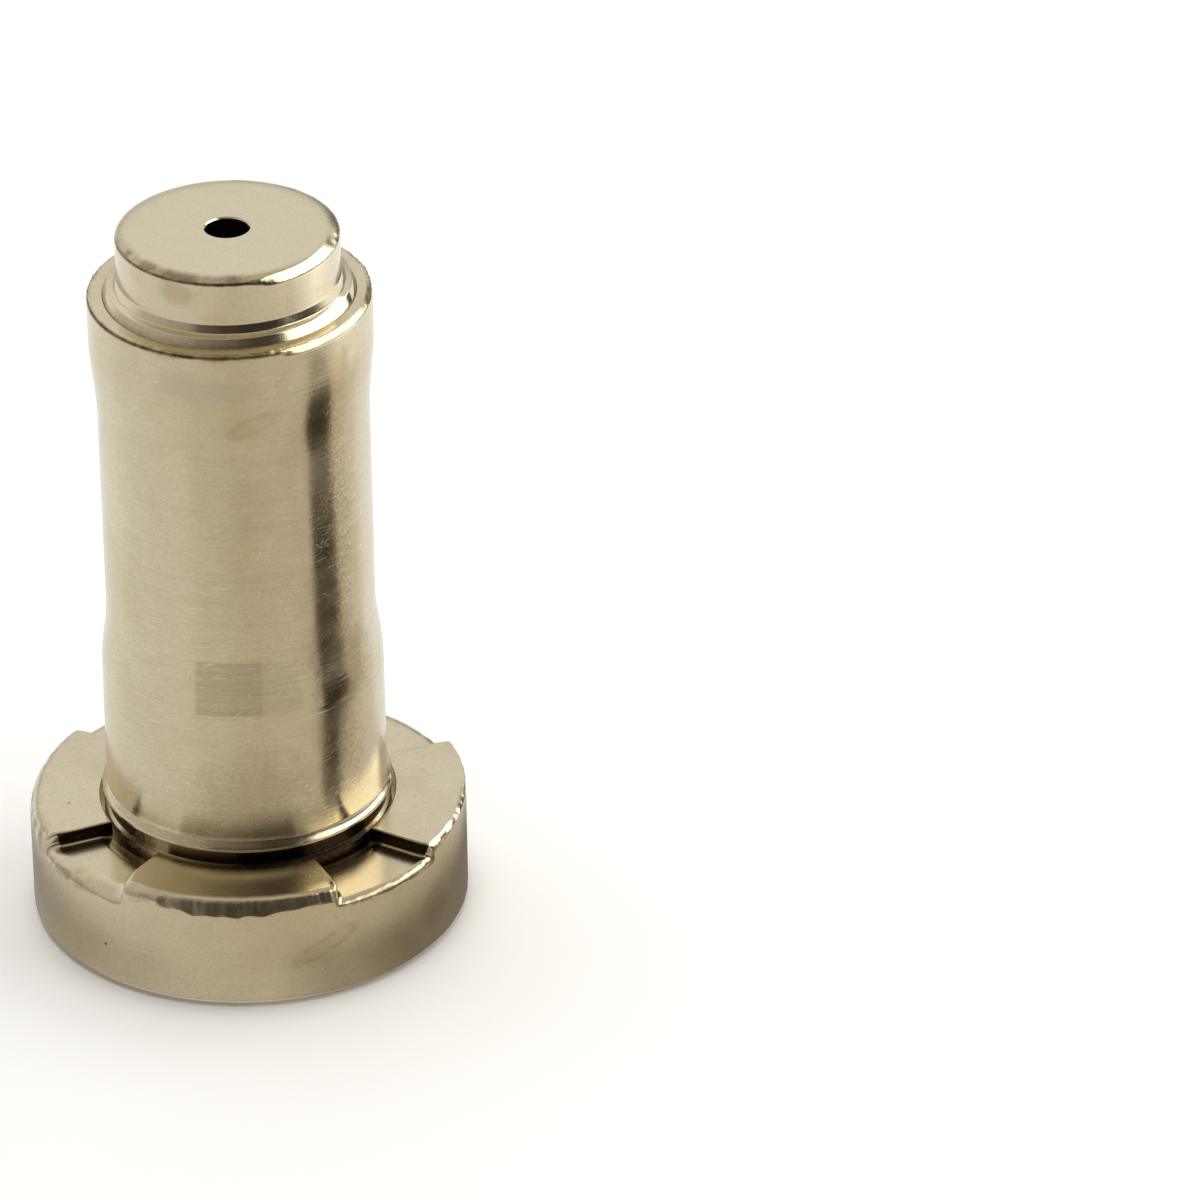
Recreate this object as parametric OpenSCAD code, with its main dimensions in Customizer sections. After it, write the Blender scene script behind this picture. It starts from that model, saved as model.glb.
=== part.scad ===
// Extended gas nozzle: a waisted barrel with a pressed-in orifice tip, a slotted
// clamping flange pressed on its root, and a seat ring in its open mouth.
// Millimetres. Z is the gas axis: Z = 0 is the flange's open rim, the tip is at the top.

/* [Overall] */
// Height from the flange's rim to the tip face
total_h = 22.0; // [20.5:0.1:24]
// Height of the barrel's front rim above the flange's rim
barrel_top_z = 20.02; // [19.8:0.02:20.2]

/* [Flange ring] */
// Outer diameter of the flange
flange_d = 12.8; // [12.2:0.1:14]
// Height of the flange
flange_h = 3.54; // [3.3:0.02:4.2]
// Radial width of the chamfer on the flange's upper edge
flange_top_chamfer = 0.36; // [0.2:0.02:0.7]
// Height of that chamfer
flange_top_chamfer_h = 0.5; // [0.2:0.02:0.5]
// Chamfer on the outside of the open rim
rim_chamfer = 0.2; // [0.05:0.05:0.3]
// Diameter of the counterbore under the flange
counterbore_d = 10.66; // [10.2:0.02:11]
// Depth of the counterbore
counterbore_depth = 1.73; // [1.4:0.01:1.8]
// Chamfer at the counterbore's mouth
mouth_chamfer = 0.25; // [0.1:0.05:0.35]
// Corner radius between the counterbore's wall and its floor
floor_fillet = 0.28; // [0.1:0.02:0.4]

/* [Gas slots] */
// Number of slots in the flange's top face
slot_count = 4; // [3:1:6]
// Depth of a slot
slot_depth = 0.44; // [0.2:0.02:0.54]
// Slot width at the barrel
slot_w_inner = 2.25; // [1.2:0.05:2.6]
// Slot width at the flange's rim
slot_w_outer = 3.5; // [1.4:0.05:3.8]
// Angle of the first slot from +X
slot_angle = 40.5; // [0:0.5:90]

/* [Barrel] */
// Diameter of the straight band above the flange
root_d = 8.22; // [8.1:0.01:8.3]
// Diameter at the top of that band
band_top_d = 8.17; // [8.0:0.01:8.22]
// Diameter of the neck
neck_d = 7.785; // [7.6:0.005:8.0]
// Diameter of the straight land behind the tip
front_land_d = 8.11; // [8.0:0.01:8.3]
// Diameter over the small bead at the root
bead_d = 8.5; // [8.4:0.02:8.58]
// Chamfer on the barrel's front rim
front_chamfer = 0.09; // [0.05:0.01:0.2]
// Diameter of the chamber behind the seat ring
chamber_d = 7.2; // [7:0.05:7.3]
// Diameter of the long bore
long_bore_d = 5.9; // [5:0.1:6.2]

/* [Seat ring] */
// Diameter of the seat ring's land
seat_d = 6.82; // [6.2:0.02:6.86]
// Outside diameter of the seat ring, a press fit
seat_ring_od = 7.68; // [7.5:0.02:7.7]

/* [Orifice tip] */
// Diameter of the raised boss
boss_d = 6.38; // [6:0.02:6.6]
// Rounding of the boss's rim
boss_round = 0.18; // [0.05:0.01:0.25]
// Fillet between the boss and its foot ring
boss_fillet = 0.2; // [0.1:0.02:0.3]
// Diameter of the foot ring round the boss
foot_d = 7.2; // [7.08:0.02:7.3]
// Height of the foot ring above the barrel's rim
foot_h = 0.28; // [0.1:0.02:0.35]
// How much narrower the foot ring is at its top edge
foot_taper = 0.12; // [0.05:0.01:0.14]
// Diameter of the shank inside the barrel, a press fit
shank_d = 6.4; // [6.2:0.1:6.8]
// Diameter of the orifice
orifice_d = 1.25; // [0.8:0.05:1.8]
// Length of the straight orifice
orifice_len = 2.4; // [1.6:0.1:3]

/* [Hidden] */
$fn = 96;
eps = 0.01;

nickel = [0.80, 0.76, 0.66];
nickel_dark = [0.70, 0.66, 0.56];

// Heights shared by the pieces
shoulder_z = 2.35;          // the barrel's lower end rests on the flange's shoulder here
relief_z = 3.0;             // floor of the groove round the barrel's root
relief_r = bead_d / 2 + 0.08;
root_press_r = 4.2;         // press fit of the barrel in the flange
seat_z0 = 1.92;             // mouth of the seat ring
seat_z1 = 3.2;              // inner end of the seat ring
chamber_z1 = 5.8;           // end of the chamber
shank_z0 = 16.6;            // inner end of the tip's shank
foot_z0 = 19.55;            // floor of the recess for the foot ring
foot_clear = 0.04;
flange_r = flange_d / 2;
counterbore_r = counterbore_d / 2;
bead_z0 = 3.82;
bead_z1 = 4.06;

// Outline of the barrel's outside: a straight band, a soft cone, a neck and a flare
function blend(t) = (1 - cos(180 * t)) / 2;
function soft(r0, z0, r1, z1, n) =
    [for (i = [1 : n]) [r0 + (r1 - r0) * blend(i / n), z0 + (z1 - z0) * i / n]];
function bead_arc(n) =
    [for (i = [0 : n])
        let (a = -90 + 180 * i / n, rb = (bead_z1 - bead_z0) / 2)
        [bead_d / 2 - rb + rb * cos(a), (bead_z0 + bead_z1) / 2 + rb * sin(a)]];

module barrel_outline() {
    root_r = root_d / 2;
    band_r = band_top_d / 2;
    neck_r = neck_d / 2;
    land_r = front_land_d / 2;
    polygon(concat(
        [[chamber_d / 2 - 0.6, shoulder_z], [root_press_r - 0.1, shoulder_z],
         [root_press_r, shoulder_z + 0.1], [root_press_r, 3.3],
         [root_r - 0.05, 3.36], [root_r - 0.05, bead_z0]],
        bead_arc(6),
        [[root_r, bead_z1 + 0.12], [band_r, 8.05]],
        soft(band_r, 8.05, neck_r, 10.1, 6),
        [[neck_r, 16.3]],
        soft(neck_r, 16.3, land_r, 18.7, 6),
        [[land_r, barrel_top_z - front_chamfer],
         [land_r - front_chamfer, barrel_top_z],
         [chamber_d / 2 - 0.6, barrel_top_z]]
    ));
}

// Waisted tube: everything else is pressed on it or in it
module barrel() {
    color(nickel)
    difference() {
        union() {
            rotate_extrude() barrel_outline();
            translate([0, 0, shoulder_z]) cylinder(r = chamber_d / 2 - 0.55, h = barrel_top_z - shoulder_z);
        }
        // mouth for the seat ring, chamber, long bore
        translate([0, 0, shoulder_z - 1]) cylinder(d = seat_ring_od, h = seat_z1 - shoulder_z + 1);
        translate([0, 0, seat_z1 - eps]) cylinder(d = chamber_d, h = chamber_z1 - seat_z1 + eps);
        translate([0, 0, chamber_z1 - eps])
            cylinder(d1 = chamber_d, d2 = long_bore_d, h = 0.35 + eps);
        translate([0, 0, chamber_z1]) cylinder(d = long_bore_d, h = shank_z0 - chamber_z1 + eps);
        // seat of the tip's shank and recess of its foot ring
        translate([0, 0, shank_z0]) cylinder(d = shank_d, h = barrel_top_z - shank_z0 + 1);
        translate([0, 0, foot_z0]) cylinder(d = foot_d + 2 * foot_clear, h = barrel_top_z - foot_z0 + 1);
    }
}

// Stepped plug with the gas orifice: boss, foot ring, shank and inner cone
module orifice_tip() {
    boss_r = boss_d / 2;
    foot_r = foot_d / 2;
    foot_z1 = barrel_top_z + foot_h;
    color(nickel)
    difference() {
        rotate_extrude() polygon(concat(
            [[0, shank_z0], [shank_d / 2 - 0.15, shank_z0], [shank_d / 2, shank_z0 + 0.15],
             [shank_d / 2, foot_z0], [foot_r, foot_z0],
             [foot_r, barrel_top_z + 0.03], [foot_r - foot_taper, foot_z1 - 0.03],
             [foot_r - foot_taper - 0.03, foot_z1]],
            [for (i = [0 : 5]) let (a = 90 * i / 5)
                [boss_r + boss_fillet - boss_fillet * sin(a),
                 foot_z1 + boss_fillet - boss_fillet * cos(a)]],
            [for (i = [0 : 5]) let (a = 90 * i / 5)
                [boss_r - boss_round + boss_round * cos(a),
                 total_h - boss_round + boss_round * sin(a)]],
            [[0, total_h]]
        ));
        // straight orifice, its exit chamfer, and the cone that feeds it
        translate([0, 0, shank_z0]) cylinder(d = orifice_d, h = total_h - shank_z0 + 1);
        translate([0, 0, total_h - 0.06])
            cylinder(d1 = orifice_d, d2 = orifice_d + 0.24, h = 0.12);
        translate([0, 0, shank_z0 - eps])
            cylinder(d1 = long_bore_d, d2 = orifice_d, h = total_h - orifice_len - shank_z0 + eps);
    }
}

// One gas slot: a flat-floored sector that widens towards the rim
module gas_slot() {
    translate([0, 0, flange_h - slot_depth])
        linear_extrude(height = slot_depth + 1)
            polygon([
                [3.9, -slot_w_inner / 2 + (slot_w_outer - slot_w_inner) * 0.1],
                [flange_r + 0.6, -slot_w_outer / 2 - 0.17],
                [flange_r + 0.6, slot_w_outer / 2 + 0.17],
                [3.9, slot_w_inner / 2 - (slot_w_outer - slot_w_inner) * 0.1]
            ]);
}

// Clamping flange: counterbored from below, slotted on top, pressed on the barrel's root
module flange_ring() {
    color(nickel_dark)
    difference() {
        rotate_extrude() polygon(concat(
            [[counterbore_r + mouth_chamfer, 0], [flange_r - rim_chamfer, 0],
             [flange_r, rim_chamfer], [flange_r, flange_h - flange_top_chamfer_h],
             [flange_r - flange_top_chamfer, flange_h],
             [relief_r, flange_h], [relief_r, relief_z],
             [root_press_r, relief_z], [root_press_r, shoulder_z],
             [seat_ring_od / 2, shoulder_z], [seat_ring_od / 2, counterbore_depth]],
            [for (i = [0 : 5]) let (a = 90 - 90 * i / 5)
                [counterbore_r - floor_fillet + floor_fillet * cos(a),
                 counterbore_depth - floor_fillet + floor_fillet * sin(a)]],
            [[counterbore_r, mouth_chamfer]]
        ));
        for (i = [0 : slot_count - 1])
            rotate([0, 0, slot_angle + i * 360 / slot_count]) gas_slot();
    }
}

// Seat ring: coned entry with turning ridges, then a straight land
module seat_ring() {
    ro = seat_ring_od / 2;
    rs = seat_d / 2;
    color(nickel_dark)
    rotate_extrude() polygon([
        [ro, seat_z0], [ro, seat_z1], [rs + 0.08, seat_z1], [rs, seat_z1 - 0.08],
        [rs, seat_z0 + 0.40],
        [rs + 0.05, seat_z0 + 0.30], [rs + 0.10, seat_z0 + 0.28],
        [rs + 0.16, seat_z0 + 0.20], [rs + 0.21, seat_z0 + 0.18],
        [rs + 0.27, seat_z0 + 0.10], [rs + 0.33, seat_z0]
    ]);
}

barrel();
orifice_tip();
flange_ring();
seat_ring();
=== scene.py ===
import math

import bpy
import numpy as np
from mathutils import Matrix, Vector


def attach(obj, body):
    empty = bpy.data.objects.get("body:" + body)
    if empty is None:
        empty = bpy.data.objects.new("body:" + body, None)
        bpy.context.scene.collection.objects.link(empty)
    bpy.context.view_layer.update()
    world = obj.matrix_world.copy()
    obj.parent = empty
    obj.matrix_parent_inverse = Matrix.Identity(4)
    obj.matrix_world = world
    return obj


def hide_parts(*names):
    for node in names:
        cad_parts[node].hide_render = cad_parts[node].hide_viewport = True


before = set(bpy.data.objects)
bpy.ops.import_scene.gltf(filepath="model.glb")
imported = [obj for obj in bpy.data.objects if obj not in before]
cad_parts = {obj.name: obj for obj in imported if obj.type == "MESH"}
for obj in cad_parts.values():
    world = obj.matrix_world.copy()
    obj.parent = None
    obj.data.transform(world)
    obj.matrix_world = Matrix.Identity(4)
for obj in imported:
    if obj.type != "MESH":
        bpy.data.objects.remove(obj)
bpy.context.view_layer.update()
scene = bpy.context.scene
MM = 0.001

# ---------------------------------------------------------------- helpers


def lerp(a, b, t):
    return a + (b - a) * t


def smooth(t):
    t = np.clip(t, 0.0, 1.0)
    return t * t * (3 - 2 * t)


def outline(points, step=0.6, support=0.02):
    """Closed (r, z) outline in mm. Each point is (r, z, corner radius, segments);
    corners become arcs, straight runs get a support row by each arc and rows every step."""
    n = len(points)
    out = []
    for i in range(n):
        p = np.array(points[i][:2], float)
        a = np.array(points[i - 1][:2], float)
        b = np.array(points[(i + 1) % n][:2], float)
        rad, seg = points[i][2], points[i][3]
        u, v = a - p, b - p
        lu, lv = np.linalg.norm(u), np.linalg.norm(v)
        u, v = u / lu, v / lv
        ang = math.acos(float(np.clip(u @ v, -1, 1)))
        if rad <= 0 or ang > math.pi - 1e-3:
            out.append([p])
            continue
        t = min(rad / math.tan(ang / 2), lu * 0.48, lv * 0.48)
        rr = t * math.tan(ang / 2)
        bis = (u + v) / np.linalg.norm(u + v)
        c = p + bis * (rr / math.sin(ang / 2))
        s, e = p + u * t, p + v * t
        a0 = math.atan2(*(s - c)[::-1])
        a1 = math.atan2(*(e - c)[::-1])
        d = (a1 - a0 + math.pi) % (2 * math.pi) - math.pi
        out.append([c + rr * np.array([math.cos(a0 + d * k / seg), math.sin(a0 + d * k / seg)]) for k in range(seg + 1)])
    rows = []
    for i in range(n):
        rows += out[i]
        s, e = out[i][-1], out[(i + 1) % n][0]
        d = np.linalg.norm(e - s)
        if d < 1e-6:
            continue
        ts = []
        if d > 5 * support:
            ts += [support / d, 1 - support / d]
        k = int(d / step)
        ts += [(j + 1) / (k + 1) for j in range(k)]
        rows += [s + (e - s) * t for t in sorted(ts)]
    keep = []
    for p in rows:
        if not keep or np.linalg.norm(p - keep[-1]) > 1e-5:
            keep.append(p)
    if np.linalg.norm(keep[0] - keep[-1]) < 1e-5:
        keep.pop()
    return np.array(keep)


def ring_mesh(name, R, Z, PHI, wear_and_shade=None):
    """Closed mesh from rows x columns arrays (mm, radians), joined round both ways.
    The wear value is 0 to 1 per point: browned, worn plating along edges; the same value also carries painted shade in
    the flange slots and the root groove, and a painted dark reflection on the flange's front land."""
    nr, nc = R.shape
    co = np.stack([R * np.cos(PHI), R * np.sin(PHI), Z], -1).reshape(-1, 3) * MM
    i = np.arange(nr)[:, None]
    j = np.arange(nc)[None, :]
    a = i * nc + j
    b = i * nc + (j + 1) % nc
    c = ((i + 1) % nr) * nc + (j + 1) % nc
    d = ((i + 1) % nr) * nc + j
    faces = np.stack([a, b, c, d], -1).reshape(-1, 4)
    me = bpy.data.meshes.new(name)
    me.vertices.add(len(co))
    me.vertices.foreach_set("co", co.astype(np.float32).ravel())
    me.loops.add(faces.size)
    me.loops.foreach_set("vertex_index", faces.astype(np.int32).ravel())
    me.polygons.add(len(faces))
    me.polygons.foreach_set("loop_start", np.arange(0, faces.size, 4, dtype=np.int32))
    me.polygons.foreach_set("loop_total", np.full(len(faces), 4, np.int32))
    me.update(calc_edges=True)
    me.validate()
    me.polygons.foreach_set("use_smooth", np.ones(len(faces), bool))
    at = me.attributes.new("wear_and_shade", "FLOAT", "POINT")
    at.data.foreach_set("value", (np.zeros(R.size) if wear_and_shade is None else np.clip(wear_and_shade, 0, 1).ravel()).astype(np.float32))
    ob = bpy.data.objects.new(name, me)
    scene.collection.objects.link(ob)
    # faces point outwards
    area = 0.0
    P = np.stack([R[:, 0], Z[:, 0]], -1)
    Q = np.roll(P, -1, 0)
    area = float((P[:, 0] * Q[:, 1] - Q[:, 0] * P[:, 1]).sum())
    if area > 0:
        me.flip_normals()
    return ob


def wave(phi, seeds, k0, k1):
    """Smooth seeded ripple round the circle, about -1 to 1."""
    rng = np.random.default_rng(seeds)
    out = np.zeros_like(phi)
    tot = 0.0
    for k in range(k0, k1):
        a, p = rng.normal(), rng.uniform(0, 2 * math.pi)
        w = 1.0 / math.sqrt(1 + (k - k0) * 0.15)
        out += w * a * np.cos(k * phi + p)
        tot += w * w
    return out / math.sqrt(tot)


def table(phi, pairs):
    """Periodic look-up in degrees, smoothed between the given angles."""
    d = np.degrees(phi) % 360
    a = np.array([p[0] for p in pairs], float)
    v = np.array([p[1] for p in pairs], float)
    full_a = np.concatenate([a - 360, a, a + 360])
    full_v = np.concatenate([v, v, v])
    k = np.clip(np.searchsorted(full_a, d, side="right") - 1, 0, len(full_a) - 2)
    t = (d - full_a[k]) / (full_a[k + 1] - full_a[k])
    t = t * t * (3 - 2 * t)
    return full_v[k] * (1 - t) + full_v[k + 1] * t


def bell(v, c, w):
    return np.exp(-(((v - c) / w) ** 2))


def patchy(phi, seed, k0, k1, lo, hi):
    """Ripple turned into patches between 0 and 1."""
    return smooth((wave(phi, seed, k0, k1) - lo) / (hi - lo))


def front(phi):
    """Degrees from the front, right positive, -180 to 180."""
    return (np.degrees(phi) - 270 + 180) % 360 - 180


def groove_soot_and_shade(fr):
    """How dark the groove round the root is painted, by degrees from the front: soot plus painted shade."""
    return np.interp(fr, (-64, -56, -46, -38, -26, 0, 57, 70), (0, 0.92, 0.92, 0.24, 0.28, 1, 1, 0))


def flat_cut(R, Z, r0, z0, deg, amount, soft=0.02):
    """Flattens a corner by a cone through (r0, z0) whose face leans deg back from upright."""
    c, s = np.cos(np.radians(deg)), np.sin(np.radians(deg))
    d = (R - r0) * c + (Z - z0) * s
    k = np.where(d > soft, d, np.where(d > -soft, (d + soft) ** 2 / (4 * soft), 0.0)) * amount
    return R - k * c, Z - k * s


def place(ob, node):
    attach(ob, "root")
    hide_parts(node)
    return ob


# ---------------------------------------------------------------- geometry (mm)
TOTAL_H = 22.0
BARREL_TOP = 20.02
FLANGE_R, FLANGE_H = 6.4, 3.54
SLOT_D = 0.44
# each slot sits a little off its even place
SLOT_ANGLES = [math.radians(40.5 + 90 * k + d) for k, d in enumerate((-1.7, 0.4, -0.2, 1.7))]


def barrel():
    def bl(t):
        return (1 - math.cos(math.pi * t)) / 2

    root, band, neck, land = 4.11, 4.085, 3.8925, 4.055
    out = [(3.84, 2.35, 0.03, 2), (4.2, 2.35, 0.06, 2), (4.2, 3.30, 0.05, 3), (4.06, 3.36, 0.04, 3)]
    out += [(4.06, 3.80, 0.05, 4)]
    bead = [(4.25 - 0.10 + 0.10 * math.cos(a), 3.92 + 0.10 * math.sin(a)) for a in np.radians(np.linspace(-80, 28, 8))]
    out += [(r, z, 0, 1) for r, z in bead]
    out += [(4.205, 4.035, 0.0, 1), (4.119, 4.190, 0.035, 4), (root, 4.30, 0.1, 3), (band + 0.003, 8.00, 0.02, 3), (band - 0.005, 8.05, 0.02, 3)]
    for i in range(1, 13):
        t = i / 12
        out.append((lerp(band, neck, bl(t)), 8.05 + 2.05 * t, 0, 1))
    out.append((neck, 16.3, 0, 1))
    for i in range(1, 13):
        t = i / 12
        out.append((lerp(neck, land, bl(t)), 16.3 + 2.4 * t, 0, 1))
    out += [(land, 19.60, 0, 1)] + [(land, v, 0, 1) for v in (19.66, 19.70, 19.74, 19.78, 19.82, 19.86)]
    out += [(land, BARREL_TOP, 0.075, 8)] + [(v, BARREL_TOP, 0, 1) for v in (3.94, 3.90, 3.86, 3.80)] + [(3.603, BARREL_TOP, 0.02, 2)]
    # inside, from the tip's recess down to the mouth
    out += [(3.603, 19.55, 0, 1), (3.2, 19.55, 0, 1), (3.2, 16.6, 0, 1), (2.95, 16.6, 0.02, 2)]
    out += [(2.95, 6.15, 0.05, 3), (3.05, 6.05, 0.02, 2), (3.05, 5.98, 0.02, 2), (3.6, 5.8, 0.05, 4), (3.6, 3.2, 0, 1), (3.84, 3.2, 0, 1)]
    P = outline(out, step=0.35)
    nc = 512
    phi = np.linspace(0, 2 * math.pi, nc, endpoint=False)
    R = np.repeat(P[:, :1], nc, 1)
    Z = np.repeat(P[:, 1:], nc, 1)
    PH = np.repeat(phi[None], len(P), 0)
    outer = R > 3.7
    # rim: nicked and slightly uneven
    rim = bell(Z, BARREL_TOP, 0.10) * bell(R, land, 0.10) * outer
    R = R - rim * 0.014 * (1 + wave(PH, 31, 20, 150)) * 0.7
    Z = Z - rim * 0.016 * np.clip(0.6 + wave(PH, 32, 20, 150), 0, 3)
    # the rim is worn flatter on its right side
    fr = front(PH)
    right = smooth((fr - 16) / 16) * smooth((110 - fr) / 25)
    lean = np.interp(fr, (15, 30, 45, 60, 75), (29, 31, 36, 43, 52))
    R2, Z2 = flat_cut(R, Z, land - 0.085, BARREL_TOP - 0.075, lean, right * (0.92 + 0.08 * wave(PH, 38, 8, 60)), 0.015)
    top_out = outer & (Z > 19.5)
    R, Z = np.where(top_out, R2, R), np.where(top_out, Z2, Z)
    # slow waviness of the polished wall
    wall = smooth((Z - 4.4) / 0.5) * smooth((19.6 - Z) / 0.4) * outer
    R = R + wall * 0.0012 * (wave(PH, 33, 3, 22) * np.cos(Z * 2.1 + 1.0) + wave(PH, 34, 3, 26) * np.sin(Z * 3.7))
    wear_and_shade = bell(Z, BARREL_TOP - 0.055, 0.065) * bell(R, land - 0.015, 0.06) * outer * (0.80 + 0.20 * patchy(PH, 35, 5, 60, -0.6, 0.6)) * (1 - 0.9 * right)
    below = smooth((Z - 19.60) / 0.35) * outer * (R > 3.9)
    wear_and_shade = np.maximum(wear_and_shade, below * 0.34 * patchy(PH, 36, 3, 26, -0.7, 0.9) * (1 - 0.85 * right))
    wear_and_shade = np.maximum(wear_and_shade, bell(Z, 8.27, 0.05) * outer * 0.35 * patchy(PH, 37, 3, 30, -0.4, 0.8))
    # painted shade and soot: the root below the bead is darkened by the groove's table
    soot_and_shade = groove_soot_and_shade(fr)
    wear_and_shade = np.maximum(wear_and_shade, smooth((3.84 - Z) / 0.05) * outer * (0.24 + 0.76 * soot_and_shade))
    # the run-up behind the bead is rolled to a leaning face on the right
    lean = np.radians(np.interp(fr, (15, 30, 45, 60, 75), (30, 32, 37, 44, 52)))
    face = np.maximum(4.247 - (Z - 3.935) * np.tan(lean), root - (Z - 4.06) * 0.0065)
    low = outer & (Z > 3.9) & (Z < 4.6)
    rolled = smooth((fr - 12) / 14) * smooth((92 - fr) / 16)
    R = np.where(low, R - rolled * np.maximum(R - face, 0.0), R)
    # polished there: wear below zero
    wear_and_shade = np.where(low & (Z > 3.91) & (Z < 4.16), -0.6 * rolled, wear_and_shade)
    return ring_mesh("barrel_turned", R, Z, PH, wear_and_shade)


def tip():
    boss, foot = 3.19, 3.6
    out = [(0.625, TOTAL_H - 2.4, 0.02, 2), (0.625, TOTAL_H - 0.05, 0.01, 2), (0.664, TOTAL_H, 0.010, 3)]
    # crowned rim: a shallow fall, then a tight turn
    out += [(2.60, TOTAL_H, 0.3, 3), (2.72, 21.995, 0, 1), (2.82, 21.986, 0, 1), (2.90, 21.975, 0, 1), (2.97, 21.960, 0, 1), (3.03, 21.942, 0, 1),
            (3.08, 21.922, 0, 1), (3.115, 21.902, 0, 1), (3.142, 21.880, 0, 1), (3.162, 21.855, 0, 1), (3.176, 21.825, 0, 1), (3.185, 21.79, 0, 1),
            (3.189, 21.75, 0, 1), (boss, 21.70, 0, 1), (boss, 21.65, 0, 1), (boss, 21.60, 0, 1), (boss, 21.55, 0, 1), (boss, 21.50, 0, 1)]
    # the boss runs out steeply into the foot ring, whose own side leans back
    out += [(boss, 20.575, 0.12, 4), (3.285, 20.325, 0.05, 6), (3.475, 20.285, 0.03, 5), (foot, BARREL_TOP + 0.015, 0.015, 3), (foot, 19.55, 0, 1),
            (3.2, 19.55, 0, 1), (3.2, 16.75, 0, 1), (3.05, 16.6, 0, 1), (2.95, 16.6, 0, 1)]
    P = outline(out, step=0.3)
    nc = 448
    phi = np.linspace(0, 2 * math.pi, nc, endpoint=False)
    R = np.repeat(P[:, :1], nc, 1)
    Z = np.repeat(P[:, 1:], nc, 1)
    PH = np.repeat(phi[None], len(P), 0)
    fr = front(PH)
    edge = bell(Z, 21.86, 0.06) * (R > 3.05)
    R = R - edge * 0.008 * (1 + wave(PH, 41, 16, 140)) * 0.7
    # worn to a leaning flat on the right
    right = smooth((fr - 8) / 22) * smooth((96 - fr) / 20)
    top = (R > 2.5) & (Z > 21.4)
    lean = np.interp(fr, (10, 28, 42, 55, 70, 80), (28, 30, 33, 39, 48, 54))
    R2, Z2 = flat_cut(R, Z, 3.105, 21.805, lean, right * (0.95 + 0.05 * wave(PH, 44, 8, 60)), 0.018)
    R, Z = np.where(top, R2, R), np.where(top, Z2, Z)
    # so is the foot ring's side
    low = (R > 3.3) & (Z > BARREL_TOP + 0.01) & (Z < 20.4)
    lean = np.interp(fr, (15, 30, 45, 60, 75), (25, 28, 34, 42, 50))
    R2, Z2 = flat_cut(R, Z, 3.598, 20.04, lean, smooth((fr - 12) / 14) * smooth((84 - fr) / 20), 0.008)
    R, Z = np.where(low, R2, R), np.where(low, Z2, Z)
    lip = bell(Z, 21.825, 0.045) * (R > 3.08)
    wear_and_shade = lip * (0.70 + 0.22 * patchy(PH, 42, 5, 70, -0.5, 0.7)) * (1 - 0.95 * right) * smooth((fr + 130) / 60)
    crown = smooth((R - 2.68) / 0.36) * (Z > 21.84)
    wear_and_shade = np.maximum(wear_and_shade, crown * 0.52 * (0.62 + 0.38 * patchy(PH, 43, 3, 30, -0.6, 0.8)) * (1 - right) * smooth((fr + 120) / 60))
    wear_and_shade = np.maximum(wear_and_shade, bell(Z, 20.06, 0.05) * (R > 3.5) * 0.40 * (1 - right))
    return ring_mesh("tip_turned", R, Z, PH, wear_and_shade)


def dense(points, step):
    """More points on a smooth curve through the given ones, step mm apart (second value times SLOT_D)."""
    p = np.array(points, float)
    q = np.vstack([2 * p[0] - p[1], p, 2 * p[-1] - p[-2]])
    out = []
    for i in range(1, len(q) - 2):
        n = max(1, int(round(math.hypot(q[i + 1, 0] - q[i, 0], (q[i + 1, 1] - q[i, 1]) * SLOT_D) / step)))
        for j in range(n):
            t = j / n
            v = 0.5 * (2 * q[i] + (q[i + 1] - q[i - 1]) * t + (2 * q[i - 1] - 5 * q[i] + 4 * q[i + 1] - q[i + 2]) * t * t
                       + (3 * q[i] - q[i - 1] - 3 * q[i + 1] + q[i + 2]) * t ** 3)
            out.append((float(v[0]), float(np.clip(v[1], 0, 1))))
    out.append(tuple(p[-1]))
    return out


def slot_half(r):
    """Half the slot's angle at radius r, for straight side walls."""
    # wall line y = w0 + k x in the slot's own axes
    k = (3.5 - 2.25 + 0.34 + 0.25) / 2 / (7.0 - 3.9)
    w0 = (2.25 / 2 - 0.125) - k * 3.9
    # x^2 + (w0 + k x)^2 = r^2
    a, b, c = 1 + k * k, 2 * w0 * k, w0 * w0 - r * r
    x = (-b + np.sqrt(b * b - 4 * a * c)) / (2 * a)
    return np.arctan2(w0 + k * x, x)


RE = [(0, 6.36), (20, 6.37), (60, 6.33), (90, 6.28), (120, 6.20), (150, 6.10), (180, 6.04), (193, 6.08), (202, 6.05), (240, 6.04),
      (253, 6.07), (262, 6.03), (275, 6.02), (291, 6.05), (300, 6.06), (322, 6.30), (330, 6.36), (341, 6.38), (352, 6.37)]
RH = [(0, 0.10), (60, 0.12), (90, 0.20), (120, 0.35), (150, 0.50), (180, 0.62), (200, 0.62), (238, 0.50), (246, 0.36), (253, 0.38),
      (258, 0.48), (264, 0.51), (275, 0.50), (282, 0.38), (290, 0.34), (297, 0.38), (322, 0.36), (330, 0.30), (341, 0.14), (352, 0.09)]
RF = [(20, 6.02), (60, 5.92), (110, 5.95), (150, 6.00), (205, 5.95), (215, 5.90), (228, 5.80), (238, 5.74), (295, 6.14), (330, 6.16)]
RD = [(20, 0.24), (60, 0.28), (110, 0.26), (205, 0.34), (238, 0.40), (295, 0.20), (330, 0.20)]


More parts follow.
